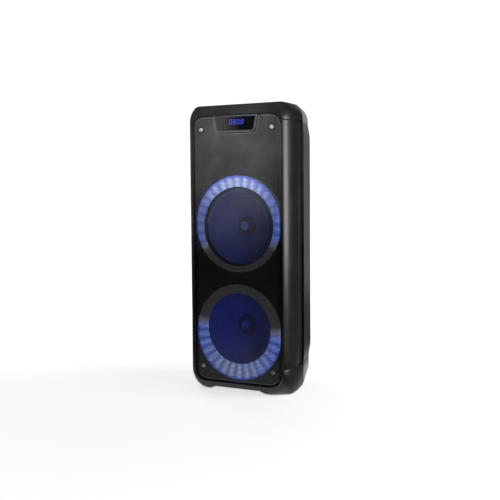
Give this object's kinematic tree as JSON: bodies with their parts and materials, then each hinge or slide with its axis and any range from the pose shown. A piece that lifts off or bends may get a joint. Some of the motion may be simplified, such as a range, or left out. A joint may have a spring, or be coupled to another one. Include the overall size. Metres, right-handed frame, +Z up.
{
  "type": "party speaker",
  "caption": "Tall portable party speaker: rolled-edge black cabinet, perforated steel grille over stacked woofers in LED rings, digital display, top controls.",
  "frame": {"origin": "on the floor, in the middle of the overall width and depth", "axes": "+Z up, -Y out of the front grille, +X to the right as seen from the front"},
  "size_m": [0.278, 0.2446, 0.716],
  "materials": {
    "housing_plastic": "satin black moulded plastic with a fine grain",
    "gloss_plastic": "polished black",
    "grille_steel": "perforated steel, satin black powder coat",
    "bright_steel": "nickel plated",
    "black_steel": "satin black",
    "plated_steel": "zinc plated",
    "ferrite": "dark grey sintered ferrite",
    "cone_pulp": "blue mineral filled polypropylene",
    "rubber": "matt black",
    "diffuser": "translucent frosted acrylic, lit blue-violet",
    "display_glass": "smoked acrylic window",
    "digit_light": "lit blue segments",
    "circuit_board": "green solder mask",
    "led_board": "white solder mask",
    "coil_copper": "enamelled copper on its former",
    "spider_cloth": "resin dipped cloth",
    "aluminium": "extruded",
    "battery_sleeve": "blue shrink sleeve",
    "cable_sleeve": "red insulation"
  },
  "bodies": {
    "cabinet": {"front_housing": "housing_plastic", "rear_housing": "housing_plastic", "top_cap": "housing_plastic", "base_cap": "housing_plastic", "rubber_feet": "rubber", "front_grille": "grille_steel", "grille_screws": "bright_steel", "display_bezel": "housing_plastic", "display_window": "display_glass", "display_module": "circuit_board", "display_digits": "digit_light", "light_ring_upper": "diffuser", "light_ring_lower": "diffuser", "led_board_upper": "led_board", "led_board_lower": "led_board", "woofer_frame_upper": "black_steel", "woofer_frame_lower": "black_steel", "woofer_gasket_upper": "rubber", "woofer_gasket_lower": "rubber", "woofer_plate_upper": "plated_steel", "woofer_plate_lower": "plated_steel", "woofer_magnet_upper": "ferrite", "woofer_magnet_lower": "ferrite", "woofer_yoke_upper": "plated_steel", "woofer_yoke_lower": "plated_steel", "surround_upper": "rubber", "surround_lower": "rubber", "spider_upper": "spider_cloth", "spider_lower": "spider_cloth", "woofer_screws": "black_steel", "control_panel": "gloss_plastic", "control_board": "circuit_board", "rear_panel": "housing_plastic", "audio_sockets": "gloss_plastic", "usb_socket": "plated_steel", "mains_inlet": "gloss_plastic", "amplifier_board": "circuit_board", "heat_sink": "aluminium", "power_supply": "circuit_board", "battery_pack": "battery_sleeve", "bass_port": "housing_plastic", "speaker_cables": "cable_sleeve", "handle_cup": "housing_plastic", "housing_screws": "black_steel"},
    "upper_cone": {"woofer_cone_upper": "cone_pulp", "dust_cap_upper": "rubber", "voice_coil_upper": "coil_copper"},
    "lower_cone": {"woofer_cone_lower": "cone_pulp", "dust_cap_lower": "rubber", "voice_coil_lower": "coil_copper"},
    "volume_control": {"volume_knob": "gloss_plastic"},
    "mic_control": {"mic_knob": "gloss_plastic"},
    "echo_control": {"echo_knob": "gloss_plastic"},
    "mode_key": {"button_mode": "gloss_plastic"},
    "previous_key": {"button_previous": "gloss_plastic"},
    "play_key": {"button_play": "gloss_plastic"},
    "next_key": {"button_next": "gloss_plastic"},
    "light_key": {"button_light": "gloss_plastic"},
    "record_key": {"button_record": "gloss_plastic"},
    "power_rocker": {"power_switch": "gloss_plastic"}
  },
  "joints": [
    {"name": "upper_cone_travel", "type": "slide", "parent": "cabinet", "child": "upper_cone", "axis": [0, -1, 0], "range_m": [-0.0035, 0.0035], "deforming": ["surround_upper", "spider_upper"]},
    {"name": "lower_cone_travel", "type": "slide", "parent": "cabinet", "child": "lower_cone", "axis": [0, -1, 0], "range_m": [-0.0035, 0.0035], "deforming": ["surround_lower", "spider_lower"]},
    {"name": "volume_turn", "type": "hinge", "parent": "cabinet", "child": "volume_control", "pos_m": [0, 0.0157, 0.702], "axis": [0, 0, 1], "continuous": true},
    {"name": "mic_turn", "type": "hinge", "parent": "cabinet", "child": "mic_control", "pos_m": [-0.06, 0.0157, 0.702], "axis": [0, 0, 1], "range_deg": [-140, 140]},
    {"name": "echo_turn", "type": "hinge", "parent": "cabinet", "child": "echo_control", "pos_m": [0.06, 0.0157, 0.702], "axis": [0, 0, 1], "range_deg": [-140, 140]},
    {"name": "mode_press", "type": "slide", "parent": "cabinet", "child": "mode_key", "axis": [0, 0, -1], "range_m": [0, 0.0012]},
    {"name": "previous_press", "type": "slide", "parent": "cabinet", "child": "previous_key", "axis": [0, 0, -1], "range_m": [0, 0.0012]},
    {"name": "play_press", "type": "slide", "parent": "cabinet", "child": "play_key", "axis": [0, 0, -1], "range_m": [0, 0.0012]},
    {"name": "next_press", "type": "slide", "parent": "cabinet", "child": "next_key", "axis": [0, 0, -1], "range_m": [0, 0.0012]},
    {"name": "light_press", "type": "slide", "parent": "cabinet", "child": "light_key", "axis": [0, 0, -1], "range_m": [0, 0.0012]},
    {"name": "record_press", "type": "slide", "parent": "cabinet", "child": "record_key", "axis": [0, 0, -1], "range_m": [0, 0.0012]},
    {"name": "power_rock", "type": "hinge", "parent": "cabinet", "child": "power_rocker", "pos_m": [0.034, 0.1167, 0.141], "axis": [1, 0, 0], "range_deg": [-13, 0]}
  ]
}
